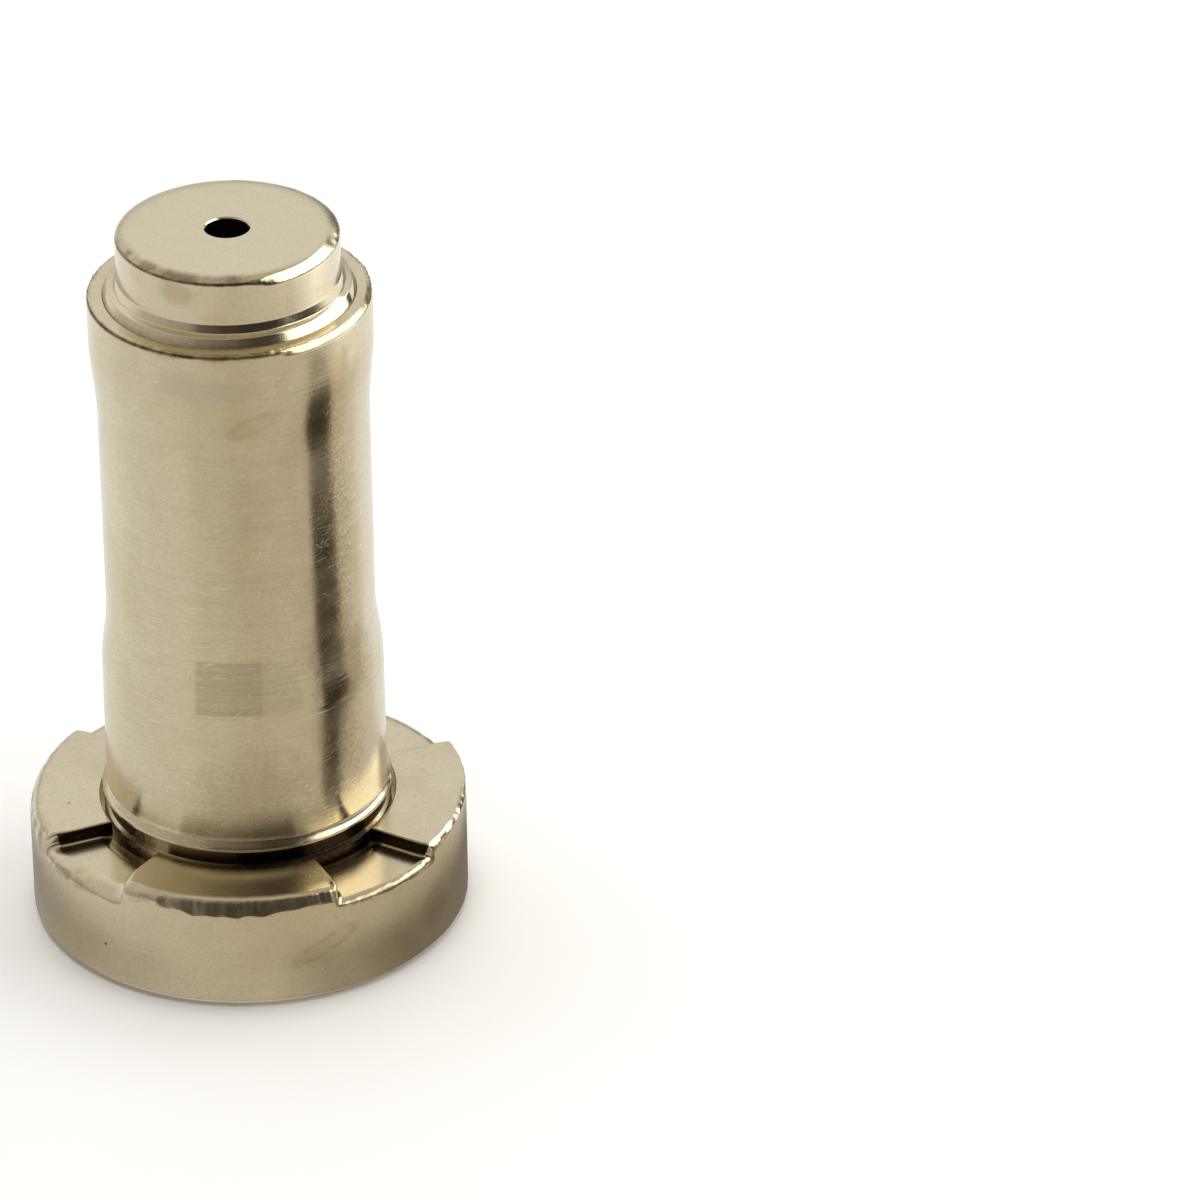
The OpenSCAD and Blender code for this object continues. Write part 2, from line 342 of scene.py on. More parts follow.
def flange():
    rows = []  # (section, parameter, nominal radius, fixed z)
    for g in (0.0, 0.06, 0.2, 0.4, 0.6, 0.8, 0.93):
        rows.append(("G", g, 4.33, 0))
    for a in (10, 35, 60, 85):
        rows.append(("A", math.radians(a), 4.33, 0))
    for t in [0.004, 0.012, 0.03, 0.06, 0.10, 0.14, 0.18, 0.22, 0.26, 0.31, 0.38, 0.46, 0.54, 0.62, 0.70, 0.77, 0.83, 0.88, 0.92, 0.95, 0.972, 0.987, 0.996]:
        rows.append(("T", t, lerp(4.37, 6.05, t), 0))
    for k in range(17):
        rows.append(("E", k / 16, lerp(6.05, 6.4, math.sin(math.pi / 2 * k / 16)), 0))
    for t in [0.006, 0.015, 0.04, 0.09, 0.16, 0.24, 0.32, 0.40, 0.48, 0.56, 0.64, 0.72, 0.80, 0.88, 0.94, 0.98]:
        rows.append(("D", t, 6.4, 0))
    low = outline([
        (FLANGE_R, 0.30, 0, 1), (FLANGE_R, 0.20, 0.05, 4), (FLANGE_R - 0.2, 0.0, 0.05, 4), (5.58, 0.0, 0.04, 3), (5.33, 0.25, 0.06, 4),
        (5.33, 1.73, 0.28, 8), (3.84, 1.73, 0.03, 3), (3.84, 2.35, 0, 1), (4.2, 2.35, 0, 1), (4.2, 3.0, 0, 1), (4.32, 3.0, 0, 1)], step=0.16)
    # the closing run from the last point back to the first is dropped: the groove joins there
    end = int(np.argmin(np.abs(low[:, 0] - 4.32) + np.abs(low[:, 1] - 3.0)))
    for p in low[:end + 1]:
        rows.append(("F", 0, float(p[0]), float(p[1])))

    wall = [(-0.22, 0.0), (-0.12, 0.0), (-0.07, 0.02), (-0.035, 0.07), (-0.012, 0.17), (0.0, 0.32), (0.0, 0.55),
            (0.004, 0.78), (0.014, 0.90), (0.032, 0.965), (0.06, 0.995), (0.10, 1.0), (0.16, 1.0)]
    wall = dense(wall, 0.022)
    r = np.array([q[2] for q in rows])[:, None]
    half = slot_half(r)
    # the slots' outer corners are worn round
    d = np.clip((r - 5.62) / 0.82, 0, 0.97)
    half = half + 0.32 * (1 - np.sqrt(1 - d * d)) / r
    half = np.where(np.array([q[0] == "F" for q in rows])[:, None], half[[i for i, q in enumerate(rows) if q[0] == "D"][0]], half)
    cols_phi, cols_h = [], []
    n_in, n_land = 30, 96
    # how far each slot's two walls are beaten out towards the rim
    worn = [1 + np.array(k)[None, :] * smooth((r - 5.35) / 0.95) for k in ((0.6, 0.6), (0.6, 0.6), (1.2, 3.6), (0.5, 1.0))]
    for q, c in enumerate(SLOT_ANGLES):
        nxt = SLOT_ANGLES[(q + 1) % 4]
        nxt = nxt + (2 * math.pi if nxt < c else 0)
        s_lo, s_hi, s_nx = worn[q][:, :1], worn[q][:, 1:], worn[(q + 1) % 4][:, :1]
        lo, hi = -half + 0.22 * s_lo / r, half - 0.22 * s_hi / r
        for off, h in wall[::-1]:
            cols_phi.append(c - half - off * s_lo / r)
            cols_h.append(h)
        for k in range(1, n_in):
            cols_phi.append(c + lo + (hi - lo) * k / n_in)
            cols_h.append(0.0)
        for off, h in wall:
            cols_phi.append(c + half + off * s_hi / r)
            cols_h.append(h)
        a0 = c + half + 0.16 * s_hi / r
        a1 = nxt - half - 0.16 * s_nx / r
        for k in range(1, n_land):
            cols_phi.append(a0 + (a1 - a0) * k / n_land)
            cols_h.append(1.0)
    PHI = np.concatenate(cols_phi, 1)
    H = np.repeat(np.array(cols_h)[None, :], len(rows), 0)
    nC = PHI.shape[1]
    re = table(PHI, RE) + 0.014 * wave(PHI, 11, 14, 130) * (table(PHI, RH) / 0.5 * 0.8 + 0.2)
    rh = table(PHI, RH) * (1 + 0.08 * wave(PHI, 12, 10, 70))
    rf = table(PHI, RF) + 0.016 * wave(PHI, 15, 14, 130)
    rd = table(PHI, RD) * (1 + 0.10 * wave(PHI, 16, 10, 70))
    re, rf = np.minimum(re, 6.385), np.minimum(rf, 6.385)
    side = front(PHI)
    # the root groove is darkened: soot plus painted shade
    soot_and_shade = groove_soot_and_shade(side)
    steep = smooth((side + 27 + 3 * wave(PHI, 21, 20, 90)) / 12) * smooth((46 - side) / 10)
    floor_z = FLANGE_H - SLOT_D
    R = np.zeros((len(rows), nC))
    Z = np.zeros_like(R)
    W = np.zeros_like(R)
    # shape of the worn upper edge: a shallow fall, then a steep face down to the side
    te = np.linspace(0, 1, 17)
    fr_e = np.array([0, .09, .18, .27, .35, .42, .48, .53, .57, .635, .70, .77, .84, .91, .965, .99, 1.0])
    fz_e = np.array([0, .005, .016, .034, .062, .10, .15, .20, .255, .365, .475, .595, .72, .845, .94, .975, 1.0])
    for i, (kind, t, rn, zf) in enumerate(rows):
        hcol = H[i]
        zl = np.full(nC, FLANGE_H)
        zs_in = floor_z - 0.065
        if kind == "G":
            R[i] = 4.33
            Z[i] = lerp(3.0 + (zs_in - 0.03 - 3.0) * t, 3.0 + (FLANGE_H - 0.035 - 3.0) * t, hcol)
            # painted shade and soot on the groove's wall
            W[i] = (0.24 + 0.76 * soot_and_shade[i]) * (1 - 0.5 * smooth((t - 0.8) / 0.2))
        elif kind == "A":
            rr = 0.035
            R[i] = 4.33 + rr * (1 - math.cos(t))
            Z[i] = lerp(zs_in - 0.03 + 0.03 * math.sin(t), FLANGE_H - rr + rr * math.sin(t), hcol)
            W[i] = 0.15
        elif kind == "T":
            rl = 4.368 + (re[i] - 4.368) * t
            rs = 4.368 + (rf[i] - 4.368) * t
            zs = floor_z - 0.065 * smooth((4.76 - rs) / 0.40) ** 0.8
            R[i] = lerp(rs, rl, hcol)
            Z[i] = lerp(zs, zl, hcol)
            W[i] = 0.22 * smooth((t - 0.955) / 0.04) * patchy(PHI[i], 17, 6, 80, -0.9, 0.5)
        elif kind == "E":
            ar, az = math.sin(math.pi / 2 * t), 1 - math.cos(math.pi / 2 * t)
            fr = lerp(ar, float(np.interp(t, te, fr_e)), steep[i])
            fz = lerp(az, float(np.interp(t, te, fz_e)), steep[i])
            rl = re[i] + (6.4 - re[i]) * fr
            zl = FLANGE_H - rh[i] * fz
            rs = rf[i] + (6.4 - rf[i]) * ar
            zs = floor_z - rd[i] * az
            dent = 0.007 * wave(PHI[i], 18, 40, 240) * math.sin(math.pi * t)
            R[i] = lerp(rs, rl + dent, hcol)
            Z[i] = lerp(zs, zl, hcol)
            W[i] = 0.16 * patchy(PHI[i], 17, 6, 80, -0.9, 0.5) + 0.34 * smooth((t - 0.40) / 0.2) * patchy(PHI[i], 20, 30, 200, -1.4, 0.3)
        elif kind == "D":
            zl = (FLANGE_H - rh[i]) + (0.30 - (FLANGE_H - rh[i])) * t
            zs = (floor_z - rd[i]) + (0.30 - (floor_z - rd[i])) * t
            R[i] = 6.4
            Z[i] = lerp(zs, zl, hcol)
            W[i] = 0.20 * bell(t, 0.0, 0.03)
        else:
            R[i] = rn
            Z[i] = zf
            # the bottom outer edge is worn; the groove floor is darkened with soot plus painted shade
            W[i] = 0.45 * bell(rn, 6.36, 0.05) * (zf < 0.3) + (0.24 + 0.76 * soot_and_shade[i]) * bell(zf, 3.0, 0.05) * (rn > 4.1)
    R = np.minimum(R, FLANGE_R)
    W = W * (1 - 0.85 * bell(side, -37, 9) * (R > 5.6))
    # browned tops of the slot walls; below them the walls are painted near black, painted shade in the slots
    top = np.array([q[0] in "AT" for q in rows])[:, None]
    near = bell(side, -35, 14) * smooth((R - 5.2) / 0.5)
    W = np.maximum(W, np.where(top, (0.45 + 0.40 * bell(side, 117, 12)) * bell(H, 0.93, 0.06) * patchy(PHI * 9 + R * 3, 19, 4, 40, -1.2, 0.4) * (1 - near), 0))
    # painted shade: slot walls near black, spared on the front-left slot's outer part
    W = np.maximum(W, np.where(top, 1.0 * smooth((H - 0.03) / 0.12) * smooth((0.97 - H) / 0.06) * (1 - near), 0))
    # painted reflection: the right part of the front land, 4° to 37° from the front, is darkened to stand for the dim
    # reflection it shows
    land = smooth((side - 4) / 22) * smooth((37 - side) / 3) * (Z > FLANGE_H - 0.05) * (R > 4.35) * smooth((6.05 - R) / 0.3)
    W = np.maximum(W, 0.50 * land)
    # two bent-over burrs at the worn corners of the front right slot
    for deg, rad, sa, sr, up in ((296.6, 6.02, 0.020, 0.16, 0.045), (325.6, 6.26, 0.016, 0.07, 0.05)):
        g = bell(PHI % (2 * math.pi), math.radians(deg), sa) * bell(R, rad, sr) * (Z > 2.9)
        Z = Z + up * g
        W = np.maximum(W, g * 0.25)
    bright = smooth((side - 50) / 6) * smooth((98 - side) / 14) * (0.90 + 0.10 * wave(PHI, 23, 20, 120))
    lean = np.interp(side, (50, 60, 75, 90), (39, 44, 52, 60))
    R2, Z2 = flat_cut(R, Z, 6.335, 3.462, lean, np.clip(bright, 0, 1), 0.01)
    rim_top = (R > 6.0) & (Z > 3.2)
    W = np.where(rim_top & (np.hypot(R - R2, Z - Z2) > 0.002), -0.6 * np.clip(bright, 0, 1), W)
    R, Z = np.where(rim_top, R2, R), np.where(rim_top, Z2, Z)
    low_edge = bell(R, 6.3, 0.16) * (Z < 0.35)
    R = R - low_edge * 0.012 * (1 + wave(PHI, 13, 7, 110)) * 0.5
    inn = bell(R, 5.5, 0.12) * (Z < 0.3)
    R = R + inn * 0.010 * wave(PHI, 14, 5, 60)
    R = np.minimum(R, FLANGE_R)
    Z = np.clip(Z, 0.0, FLANGE_H + 0.05)
    return ring_mesh("flange_milled", R, Z, PHI, W)


def seat():
    z0 = 1.92
    rs = 3.41
    out = [(3.84, 3.2, 0, 1), (3.84, z0, 0.01, 2)]
    # coned entry cut in fine steps
    rr, zz = 3.80, z0
    steps = [(0.07, 0.03, 0.05), (0.06, 0.03, 0.045), (0.055, 0.028, 0.05), (0.05, 0.025, 0.045), (0.045, 0.025, 0.045)]
    for dr, rise, dz in steps:
        out.append((rr, zz, 0.012, 3))
        rr -= dr
        out.append((rr + 0.012, zz + dz * 0.35, 0.010, 3))
        zz += dz + 0.018
    out.append((rr - 0.015, zz, 0.02, 3))
    out.append((rs + 0.035, z0 + 0.36, 0.02, 3))
    out.append((rs, z0 + 0.40, 0.02, 3))
    zc = z0 + 0.40
    # fine feed marks on the land
    k = 0
    while zc + 0.12 < 3.10:
        zc += 0.115
        d = (0.006, 0.010, 0.004, 0.012, 0.007)[k % 5]
        out.append((rs + d, zc - 0.02, 0.008, 2))
        out.append((rs, zc, 0.008, 2))
        k += 1
    out.append((rs, 3.14, 0.01, 2))
    out.append((rs - 0.03, 3.165, 0.01, 2))
    out.append((rs + 0.03, 3.2, 0.01, 2))
    P = outline(out, step=0.2, support=0.006)
    nc = 384
    phi = np.linspace(0, 2 * math.pi, nc, endpoint=False)
    R = np.repeat(P[:, :1], nc, 1)
    Z = np.repeat(P[:, 1:], nc, 1)
    PH = np.repeat(phi[None], len(P), 0)
    burr = np.exp(-(((Z - 3.165) / 0.03) ** 2)) * (R < 3.6)
    R = R - burr * 0.022 * (0.6 + wave(PH, 21, 6, 120))
    return ring_mesh("seat_turned", R, Z, PH)


B = place(barrel(), "barrel")
T = place(tip(), "orifice_tip")
F = place(flange(), "flange_ring")
S = place(seat(), "seat_ring")

# ---------------------------------------------------------------- materials


class Nodes:
    def __init__(self, name):
        self.mat = bpy.data.materials.new(name)
        self.mat.use_nodes = True
        self.t = self.mat.node_tree
        self.t.nodes.clear()
        self.out = self.t.nodes.new("ShaderNodeOutputMaterial")
        self.b = self.t.nodes.new("ShaderNodeBsdfPrincipled")
        self.t.links.new(self.b.outputs[0], self.out.inputs[0])
        self.co = self.t.nodes.new("ShaderNodeTexCoord").outputs["Object"]

    def node(self, kind, **kw):
        n = self.t.nodes.new(kind)
        for k, v in kw.items():
            setattr(n, k, v)
        return n

    def link(self, a, b):
        self.t.links.new(a, b)

    def mapped(self, sx, sy, sz, off=(0, 0, 0), src=None):
        m = self.node("ShaderNodeMapping")
        m.inputs["Scale"].default_value = (sx, sy, sz)
        m.inputs["Location"].default_value = off
        self.link(src or self.co, m.inputs["Vector"])
        return m.outputs[0]

    def noise(self, vec, scale=1.0, detail=3.0, rough=0.55, dist=0.0):
        n = self.node("ShaderNodeTexNoise")
        n.inputs["Scale"].default_value = scale
        n.inputs["Detail"].default_value = detail
        n.inputs["Roughness"].default_value = rough
        n.inputs["Distortion"].default_value = dist
        self.link(vec, n.inputs["Vector"])
        return n.outputs["Fac"]

    def math(self, op, a, b=None, c=None):
        n = self.node("ShaderNodeMath", operation=op)
        for i, v in enumerate((a, b, c)):
            if v is None:
                continue
            if isinstance(v, (int, float)):
                n.inputs[i].default_value = v
            else:
                self.link(v, n.inputs[i])
        return n.outputs[0]

    def range(self, v, a, b, c=0.0, d=1.0, kind="SMOOTHSTEP"):
        n = self.node("ShaderNodeMapRange", interpolation_type=kind)
        self.link(v, n.inputs["Value"])
        for k, x in zip(("From Min", "From Max", "To Min", "To Max"), (a, b, c, d)):
            n.inputs[k].default_value = x
        return n.outputs[0]

    def mix(self, fac, a, b):
        n = self.node("ShaderNodeMix", data_type="RGBA")
        for sock, v in ((n.inputs[0], fac), (n.inputs[6], a), (n.inputs[7], b)):
            if isinstance(v, (int, float)):
                sock.default_value = v
            elif isinstance(v, tuple):
                sock.default_value = (*v, 1.0)
            else:
                self.link(v, sock)
        return n.outputs[2]

    def polar(self):
        """Object-space x, y, z and the distance r from the axis, in metres, as four outputs."""
        s = self.node("ShaderNodeSeparateXYZ")
        self.link(self.co, s.inputs[0])
        x, y, z = s.outputs
        r = self.math("SQRT", self.math("ADD", self.math("MULTIPLY", x, x), self.math("MULTIPLY", y, y)))
        return x, y, z, r

    def combine(self, x, y, z):
        n = self.node("ShaderNodeCombineXYZ")
        for i, v in enumerate((x, y, z)):
            if isinstance(v, (int, float)):
                n.inputs[i].default_value = v
            else:
                self.link(v, n.inputs[i])
        return n.outputs[0]


def nickel(name, base, dark, rough=0.2, grain=1.0, ripple=1.0, lines=1.0, face_rings=0.0, scratch=0.0, brushed=0.0, aniso=0.0, cloud=1.0, seed=0.0,
           spots=(), loops=(), panels=(), pits=(), soot=None, skin=0.0, flecks=0.0, grit=()):
    """Satin plating: colour drift, worn brown edges, fine grain, turning lines and short scratches; the wear value and
    some local patches also carry painted shade and painted reflections.
    """
    m = Nodes(name)
    x, y, z, r = m.polar()
    # arc length round the axis, in metres, seam at the back
    ARC = 0.0041
    arc = m.math("MULTIPLY", m.math("ARCTAN2", x, m.math("MULTIPLY", y, -1.0)), ARC)

    def sheet(su, sw, ou=0.0, ow=0.0, deg=0.0):
        a = math.radians(deg)
        u = m.math("ADD", m.math("MULTIPLY", arc, math.cos(a)), m.math("MULTIPLY", z, math.sin(a)))
        w = m.math("SUBTRACT", m.math("MULTIPLY", z, math.cos(a)), m.math("MULTIPLY", arc, math.sin(a)))
        return m.combine(m.math("MULTIPLY_ADD", u, su, ou), m.math("MULTIPLY_ADD", w, sw, ow), m.math("MULTIPLY", r, 900.0))

    def local(deg, zc, wa, wz, lean=0.0):
        """Distance from a mark's centre in half widths; lean turns the mark, in degrees."""
        du = m.math("SUBTRACT", arc, math.radians(deg) * ARC)
        dz = m.math("SUBTRACT", z, zc * MM)
        c, q = math.cos(math.radians(lean)), math.sin(math.radians(lean))
        u = m.math("DIVIDE", m.math("ADD", m.math("MULTIPLY", du, c), m.math("MULTIPLY", dz, q)), wa * MM)
        v = m.math("DIVIDE", m.math("SUBTRACT", m.math("MULTIPLY", dz, c), m.math("MULTIPLY", du, q)), wz * MM)
        return m.math("SQRT", m.math("ADD", m.math("MULTIPLY", u, u), m.math("MULTIPLY", v, v)))

    wear_and_shade = m.node("ShaderNodeAttribute", attribute_name="wear_and_shade").outputs["Fac"]
    # marks lie on the outer skin only
    on_skin = m.range(r, (skin - 0.06) * MM, skin * MM)
    drift = m.noise(m.mapped(420, 420, 330, (seed, 0, 0)), 1.0, 5.0, 0.62)
    fine = m.noise(m.mapped(1, 1, 1, (seed * 0.001, 0, 0)), 13000.0, 3.0, 0.8)
    col = m.mix(m.math("MULTIPLY", m.range(drift, 0.40, 0.66), cloud), base, dark)
    col = m.mix(m.math("MULTIPLY", m.range(fine, 0.44, 0.66), 0.50), col, tuple(0.86 * v for v in dark))
    coarse = m.noise(m.mapped(1, 1, 1, (0, seed * 0.001, 0)), 5200.0, 3.0, 0.7)
    col = m.mix(m.math("MULTIPLY", m.range(coarse, 0.50, 0.70), 0.30), col, tuple(0.88 * v for v in dark))
    # brushed tone: streaks round the axis
    streak = m.noise(sheet(420.0, 11000.0, seed, 1.7), 1.0, 3.0, 0.7)
    if brushed > 0:
        col = m.mix(m.math("MULTIPLY", m.range(streak, 0.46, 0.70), brushed), col, tuple(0.84 * v for v in dark))
        light = m.range(m.noise(sheet(520.0, 14000.0, seed + 9, 3.1), 1.0, 2.0, 0.6), 0.56, 0.74)
        col = m.mix(m.math("MULTIPLY", light, brushed * 0.7), col, tuple(min(1.0, 1.12 * v) for v in base))
    # rubbed bands: first and last angle, lower and upper height, strength
    for d0, d1, z0, z1, amount in panels:
        e = 0.08 * MM
        inside = m.math("MULTIPLY", m.range(arc, math.radians(d0) * ARC - e, math.radians(d0) * ARC + e), m.range(arc, math.radians(d1) * ARC + e, math.radians(d1) * ARC - e))
        zj = m.math("MULTIPLY_ADD", m.noise(sheet(700.0, 300.0, 3.0, 8.0), 1.0, 2.0, 0.5), 0.10 * MM, z)
        inside = m.math("MULTIPLY", inside, m.range(zj, z0 * MM, (z0 + 0.07) * MM))
        inside = m.math("MULTIPLY", inside, m.range(zj, z1 * MM, (z1 - 0.07) * MM))
        band = m.math("MULTIPLY", m.math("MULTIPLY_ADD", m.range(streak, 0.40, 0.62), 0.35, 0.65), on_skin)
        col = m.mix(m.math("MULTIPLY", m.math("MULTIPLY", inside, band), amount), col, RUBBED)
    # local stains and painted reflections: centre angle from the front, height, half widths, strength, colour
    for k, (deg, zc, wa, wz, amount, tone) in enumerate(spots):
        ragged = m.math("ADD", local(deg, zc, wa, wz), m.math("MULTIPLY_ADD", m.noise(m.mapped(1500, 1500, 1500, (k, seed, 2)), 1.0, 4.0, 0.7), 1.3, -0.65))
        col = m.mix(m.math("MULTIPLY", m.math("MULTIPLY", m.range(ragged, 1.1, 0.35), on_skin), amount), col, tone)
    # pitted zones: centre angle, height, half widths, strength
    gritty = None
    for deg, zc, wa, wz, amount in grit:
        zone = m.math("MULTIPLY", m.math("MULTIPLY", m.range(local(deg, zc, wa, wz), 1.15, 0.70), on_skin), amount)
        grains = m.noise(m.mapped(1, 1, 1, (0.003, 0, 0)), 9500.0, 3.0, 0.75)
        col = m.mix(m.math("MULTIPLY", m.range(grains, 0.46, 0.64), zone), col, (0.40, 0.32, 0.19))
        col = m.mix(m.math("MULTIPLY", m.range(grains, 0.41, 0.30), zone), col, (0.92, 0.86, 0.70))
        gritty = zone if gritty is None else m.math("MAXIMUM", gritty, zone)
    # oval rub marks, drawn as a broken outline
    for k, (deg, zc, wa, wz, lean, amount, tone) in enumerate(loops):
        d = local(deg, zc, wa, wz, lean)
        d = m.math("ADD", d, m.math("MULTIPLY_ADD", m.noise(m.mapped(2600, 2600, 2600, (k, seed, 6)), 1.0, 3.0, 0.6), 0.7, -0.35))
        rim = m.math("MULTIPLY", m.range(d, 0.55, 0.90), m.range(d, 1.32, 1.0))
        rim = m.math("ADD", m.math("MULTIPLY", rim, 0.8), m.math("MULTIPLY", m.range(d, 1.0, 0.7), 0.20))
        gaps = m.range(m.noise(m.mapped(2100, 2100, 2100, (k, seed, 16)), 1.0, 2.0, 0.6), 0.34, 0.58)
        col = m.mix(m.math("MULTIPLY", m.math("MULTIPLY", m.math("MULTIPLY", rim, gaps), on_skin), amount), col, tone)
    # worn edges: warm brown over the plating, near black where the wear value is highest; the same value also paints
    # shade in the flange slots and root groove and a dark reflection on the flange's front land
    rag = m.noise(m.mapped(9000, 9000, 9000, (seed, 4, 4)), 1.0, 3.0, 0.65)
    wear_and_shade_mask = m.range(m.math("ADD", wear_and_shade, m.math("MULTIPLY_ADD", rag, 0.44, -0.22)), 0.06, 0.80)
    col = m.mix(wear_and_shade_mask, col, (0.195, 0.135, 0.068))
    col = m.mix(m.range(m.math("ADD", wear_and_shade, m.math("MULTIPLY_ADD", rag, 0.24, -0.12)), 0.86, 1.0), col, (0.026, 0.018, 0.011))
    # single pits: centre angle, height, radius, distance from the axis
    for deg, zc, size, rc in pits:
        a = math.radians(deg)
        dx = m.math("SUBTRACT", x, rc * MM * math.sin(a))
        dy = m.math("ADD", y, rc * MM * math.cos(a))
        dz = m.math("SUBTRACT", z, zc * MM)
        d = m.math("SQRT", m.math("ADD", m.math("MULTIPLY", dx, dx), m.math("ADD", m.math("MULTIPLY", dy, dy), m.math("MULTIPLY", dz, dz))))
        col = m.mix(m.math("MULTIPLY", m.range(d, size * 1.1 * MM, size * 0.7 * MM), 0.85), col, (0.14, 0.10, 0.06))
    if soot is not None:
        col = m.mix(m.range(r, soot * MM, (soot - 0.012) * MM), col, (0.075, 0.045, 0.018))
    # height: rings stacked along the axis, rings on end faces, grain
    ring_v = m.combine(m.math("MULTIPLY", x, 90.0), m.math("MULTIPLY", y, 90.0), m.math("MULTIPLY", z, 15000.0))
    rings = m.noise(ring_v, 1.0, 3.0, 0.6)
    face_v = m.combine(m.math("MULTIPLY", x, 60.0), m.math("MULTIPLY", y, 60.0), m.math("MULTIPLY", r, 15000.0))
    faces = m.noise(face_v, 1.0, 2.0, 0.55)
    speck = m.noise(m.co, 19000.0, 2.0, 0.75)
    soft = m.noise(m.mapped(1300, 1300, 1900, (seed, 2, 8)), 1.0, 3.0, 0.6)
    h = m.math("MULTIPLY", rings, lines)
    h = m.math("ADD", h, m.math("MULTIPLY", streak, lines * 0.9))
    h = m.math("ADD", h, m.math("MULTIPLY", faces, face_rings))
    h = m.math("ADD", h, m.math("MULTIPLY", speck, grain * 0.55))
    h = m.math("ADD", h, m.math("MULTIPLY", soft, ripple))
    if gritty is not None:
        h = m.math("ADD", h, m.math("MULTIPLY", m.math("MULTIPLY", speck, gritty), 2.2))
    if flecks > 0:
        fl = m.noise(sheet(3400.0, 10500.0, seed + 4.4, 6.1, 5), 1.0, 1.0, 0.5)
        spread = m.range(m.noise(m.mapped(420, 420, 520, (seed + 7, 1, 3)), 1.0, 3.0, 0.6), 0.46, 0.60)
        fm = m.math("MULTIPLY", m.math("MULTIPLY", m.range(fl, 0.70, 0.76), spread), m.math("MULTIPLY", on_skin, m.range(wear_and_shade, 0.45, 0.15)))
        h = m.math("ADD", h, m.math("MULTIPLY", fm, flecks))
        col = m.mix(m.math("MULTIPLY", fm, 0.36), col, (0.95, 0.92, 0.82))
    if scratch > 0:
        low = m.range(z, 17.0 * MM, 13.0 * MM, 0.25, 1.0)
        for k, (deg, su, sw, thr) in enumerate(((3, 1900, 30000, 0.725), (-12, 2400, 30000, 0.740), (24, 2600, 30000, 0.765), (66, 2900, 30000, 0.780), (-41, 2600, 30000, 0.785))):
            sc = m.noise(sheet(su, sw, 3.3 * k + seed, 7.7 * k, deg), 1.0, 0.0, 0.5)
            patch = m.range(m.noise(m.mapped(260, 260, 260, (4 + seed + k, 7, 1)), 1.0, 2.0, 0.5), 0.42, 0.60)
            cutm = m.math("MULTIPLY", m.math("MULTIPLY", m.range(sc, thr, thr + 0.05), patch), m.math("MULTIPLY", low, m.range(wear_and_shade, 0.45, 0.15)))
            h = m.math("ADD", h, m.math("MULTIPLY", cutm, scratch))
            col = m.mix(m.math("MULTIPLY", cutm, 0.42), col, (0.95, 0.92, 0.82))
    bump = m.node("ShaderNodeBump")
    bump.inputs["Strength"].default_value = 1.0
    bump.inputs["Distance"].default_value = 0.000001
    m.link(h, bump.inputs["Height"])
    m.link(bump.outputs[0], m.b.inputs["Normal"])
    m.link(col, m.b.inputs["Base Color"])
    m.b.inputs["Metallic"].default_value = 1.0
    ro = m.math("ADD", m.math("MULTIPLY", m.range(m.noise(m.mapped(500, 500, 900, (seed, 3, 5)), 1.0, 4.0, 0.6), 0.3, 0.7), 0.07), rough - 0.04)
    ro = m.math("ADD", ro, m.math("MULTIPLY", m.range(speck, 0.45, 0.75), 0.05))
    ro = m.math("ADD", ro, m.math("MULTIPLY", wear_and_shade_mask, 0.15))
    ro = m.math("SUBTRACT", ro, m.math("MULTIPLY", m.range(wear_and_shade, -0.05, -0.5), 0.10))
    m.link(ro, m.b.inputs["Roughness"])
    if aniso > 0:
        m.b.inputs["Anisotropic"].default_value = aniso
        m.b.inputs["Anisotropic Rotation"].default_value = 0.25
        tg = m.node("ShaderNodeTangent", direction_type="RADIAL", axis="Z")
        m.link(tg.outputs[0], m.b.inputs["Tangent"])
    return m.mat


BASE = (0.735, 0.655, 0.465)
DARK = (0.665, 0.575, 0.380)
GREY = (0.56, 0.50, 0.38)
OCHRE = (0.62, 0.49, 0.27)
RUBBED = (0.50, 0.435, 0.288)
BROWN = (0.42, 0.33, 0.19)
mat_barrel = nickel("plating_barrel", BASE, DARK, rough=0.21, grain=1.6, ripple=0.9, lines=1.3, scratch=0.75, brushed=0.30, aniso=0.60, skin=3.86, cloud=0.75, seed=0.0,
                    spots=((-10, 18.9, 1.9, 0.50, 0.55, GREY), (47, 18.6, 0.75, 0.9, 0.60, OCHRE), (40, 19.2, 0.4, 0.5, 0.5, BROWN), (54, 19.0, 0.3, 0.7, 0.4, BROWN),
                           # painted reflection: the spots at 45° and 54° near 9.2 mm and the long one at 49°, 13.4 mm
                           # darken the barrel where it mirrors a dark band
                           (-20, 19.3, 0.8, 0.35, 0.4, GREY), (45, 9.15, 1.1, 1.5, 0.85, (0.31, 0.25, 0.165)), (54, 9.2, 1.0, 1.6, 0.70, (0.38, 0.30, 0.19)), (49, 13.4, 1.1, 8.0, 0.55, (0.58, 0.49, 0.30)),
                           # painted highlight tone: the greyer patch at 62°, 4.8 mm tones down the key light's
                           # reflection there
                           (5, 17.65, 0.7, 0.35, 0.30, OCHRE), (8, 4.9, 2.6, 2.6, 0.62, RUBBED), (17, 4.45, 1.9, 0.7, 0.75, (0.40, 0.34, 0.235)), (62, 4.8, 2.0, 1.6, 0.85, (0.56, 0.52, 0.42))),
                    loops=((11, 17.75, 0.78, 0.27, 22, 0.34, BROWN),), panels=((-17.3, 10.6, 8.36, 10.10, 0.90), (10.6, 27, 8.36, 10.02, 0.40), (-17, 29, 13.95, 16.75, 0.15), (-17, 29, 11.1, 12.9, 0.08)),
                    flecks=0.9, grit=((50, 13.9, 0.62, 4.9, 0.55), (50, 6.3, 0.8, 1.6, 0.35), (-2, 5.6, 2.2, 1.3, 0.25)))
